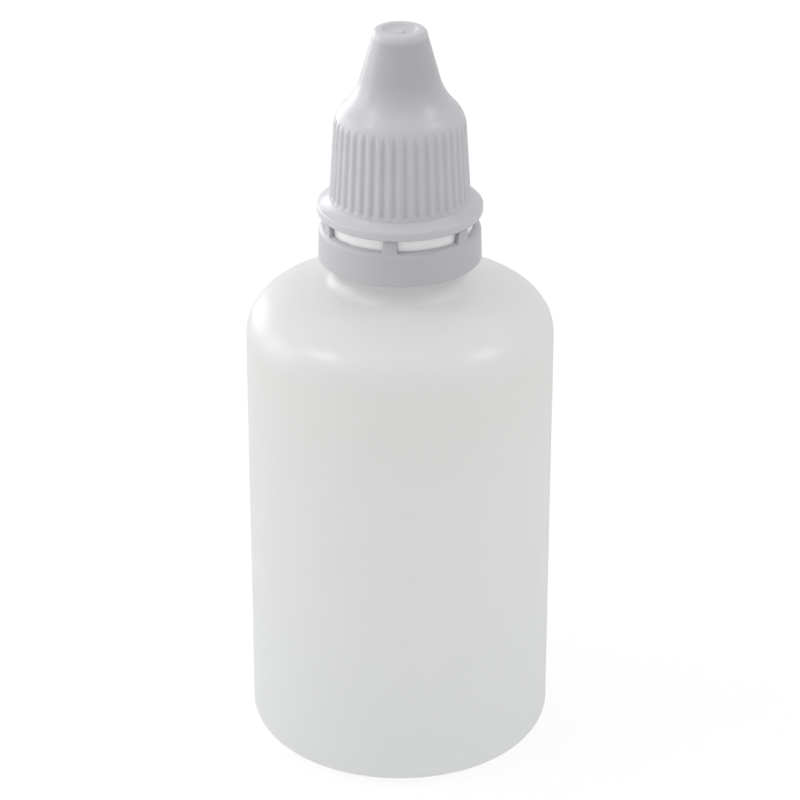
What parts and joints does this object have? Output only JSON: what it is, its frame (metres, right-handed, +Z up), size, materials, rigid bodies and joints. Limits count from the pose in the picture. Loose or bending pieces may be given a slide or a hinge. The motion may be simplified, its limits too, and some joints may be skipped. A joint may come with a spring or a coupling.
{
  "type": "eye drop bottle",
  "caption": "Round squeeze bottle for eye drops: dropper nozzle pressed into the neck, ribbed conical screw cap over it, tamper-evident ring under the cap.",
  "frame": {"origin": "centre of the base, on the surface that the bottle stands on", "axes": "+Z up along the bottle's axis towards the cap's tip; -Y is the pictured front"},
  "size_m": [0.036, 0.036, 0.0888],
  "materials": {
    "bottle_ldpe": "satin, milky translucent polyethylene",
    "insert_ldpe": "satin natural polyethylene",
    "cap_plastic": "semi-gloss pale grey moulding",
    "ring_plastic": "semi-gloss pale grey moulding"
  },
  "bodies": {
    "bottle": {"bottle": "bottle_ldpe", "dropper_insert": "insert_ldpe"},
    "tamper_ring": {"tamper_ring": "ring_plastic"},
    "screw_cap": {"screw_cap": "cap_plastic"}
  },
  "joints": [
    {"name": "cap_turn", "type": "hinge", "parent": "bottle", "child": "tamper_ring", "pos_m": [0, 0, 0.0635], "axis": [0, 0, 1], "range_deg": [0, 2520]},
    {"name": "cap_lift", "type": "slide", "parent": "tamper_ring", "child": "screw_cap", "axis": [0, 0, 1], "range_m": [0, 0.021]}
  ],
  "couplings": [
    {"joint": "cap_lift", "follows": "cap_turn", "m_per_rad": 0.00047746}
  ]
}
